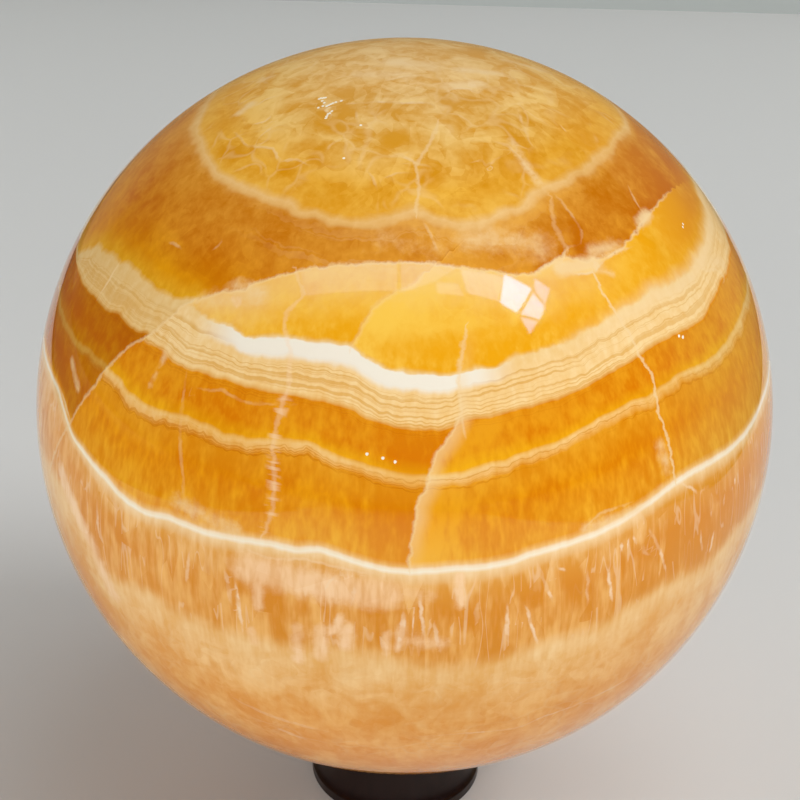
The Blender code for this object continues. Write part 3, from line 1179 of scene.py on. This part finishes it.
# Lights: bearing and rise in degrees, distance from the ball's centre, width, height, and radiance
LIGHTS = {
    "overhead": (0, 85, 1.1, 1.5, 1.5, 0.14),
    "upper": (100, 64, 1.1, 1.1, 1.1, 1.12),
    "key": (106, 42, 2.0, 1.0, 1.0, 5.85),
    "front": (188, 2, 0.9, 1.4, 0.7, 2.85),
    "left": (-85, 10, 0.9, 0.9, 0.5, 2.35),
}
AIR_COLOUR = (0.94, 0.97, 1.0, 1.0)
AIR_STRENGTH = 0.054
BOUNCES = 2


def add_light(name, bearing, rise, distance, width, height, radiance):
    """A rectangular light that faces the ball and isn't mirrored in the polish."""
    light = bpy.data.lights.new(name, "AREA")
    light.shape = "RECTANGLE"
    light.size = width
    light.size_y = height
    light.energy = radiance * pi * width * height
    holder = bpy.data.objects.new(name, light)
    holder.location = CENTRE + direction(bearing, rise) * distance
    holder.rotation_euler = (-direction(bearing, rise)).to_track_quat("-Z", "Y").to_euler()
    holder.visible_glossy = False
    holder.visible_camera = False
    bpy.context.scene.collection.objects.link(holder)


# Panes of a window behind the camera, as the polish mirrors them: corners in pixels, and radiance
PANE_DISTANCE = 0.9
PANE_COLOUR = (0.16, 0.48, 1.0, 1.0)
BLACK = (0.0, 0.0, 0.0, 1.0)
PANES = [
    ([(230, 298), (234, 296), (239, 306), (236, 308)], 2.5),
    ([(236, 297), (240, 296), (242, 303), (239, 305)], 2.5),
    ([(300, 271), (345, 266), (397, 262), (397, 291), (345, 292), (305, 296)], 2.4),
    ([(401, 262), (450, 264), (457, 268), (436, 281), (415, 288), (401, 292)], 2.8),
    ([(436, 282), (458, 284), (464, 296), (437, 293)], 3.2),
    ([(460, 268), (503, 277), (498, 301), (467, 293)], 5.0),
    ([(504, 274), (512, 278), (532, 289), (517, 313), (500, 303)], 20.0),
    ([(534, 278), (550, 289), (545, 305), (535, 291)], 10.0),
    ([(533, 293), (545, 307), (540, 320), (521, 314)], 16.0),
    ([(520, 317), (538, 321), (530, 334)], 12.0),
]


def mirrored(pixels):
    """Places in the room that the polished ball shows at these pixels."""
    on = on_ball(pixels)
    rays = rays_through(pixels)
    back = rays - 2 * np.sum(rays * on, axis=1, keepdims=True) * on
    return np.array(CENTRE) + on * RADIUS + back * PANE_DISTANCE


def make_panes():
    for index, (pixels, radiance) in enumerate(PANES):
        mesh = bpy.data.meshes.new("pane_%d" % index)
        mesh.from_pydata(mirrored(pixels).tolist(), [], [list(range(len(pixels)))])
        pane = bpy.data.objects.new("pane_%d" % index, mesh)
        bpy.context.scene.collection.objects.link(pane)
        nodes = Nodes("pane_%d" % index)
        nodes.shader.inputs["Base Color"].default_value = BLACK
        nodes.shader.inputs["Emission Color"].default_value = PANE_COLOUR
        nodes.shader.inputs["Emission Strength"].default_value = radiance
        nodes.material.cycles.emission_sampling = "NONE"
        mesh.materials.append(nodes.material)
        only_mirrored(pane)


def light_scene():
    world = bpy.data.worlds.new("room")
    world.use_nodes = True
    background = world.node_tree.nodes["Background"]
    background.inputs["Color"].default_value = AIR_COLOUR
    background.inputs["Strength"].default_value = AIR_STRENGTH
    scene = bpy.context.scene
    scene.world = world
    for name, values in LIGHTS.items():
        add_light(name, *values)
    scene.view_settings.view_transform = "Standard"
    scene.cycles.diffuse_bounces = BOUNCES
    scene.cycles.glossy_bounces = BOUNCES


ball = make_ball()
ball.data.materials.append(calcite_material())
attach(ball, "root")
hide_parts("calcite_sphere")

stand = make_stand()
stand.data.materials.append(stand_material())
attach(stand, "root")
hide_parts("stand")

place_camera()
make_room()
make_panes()
light_scene()
